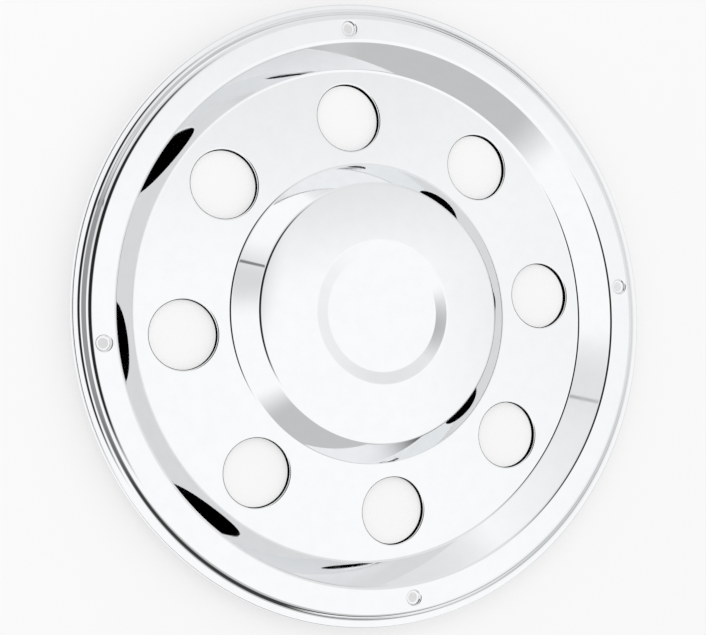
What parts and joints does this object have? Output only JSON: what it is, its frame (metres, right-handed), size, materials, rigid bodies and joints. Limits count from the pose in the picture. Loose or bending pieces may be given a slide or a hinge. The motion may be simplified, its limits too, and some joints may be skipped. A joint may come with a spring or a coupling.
{
  "type": "wheel cover",
  "caption": "Round pressed sheet-metal wheel cover with a domed hub, a recessed face with round hand holes, a flat flange with fixing holes and a stepped rim.",
  "frame": {"origin": "on the cover's axis, at the surface that it lies on, under the ends of the hand hole collars", "axes": "+Z along the cover's axis, out of its polished front; +X through one hand hole and the fixing hole outside it"},
  "size_m": [0.5799, 0.58, 0.034],
  "materials": {
    "polished_sheet": "mirror-polished stainless sheet"
  },
  "bodies": {
    "root": {"wheel_cover": "polished_sheet"}
  },
  "joints": []
}
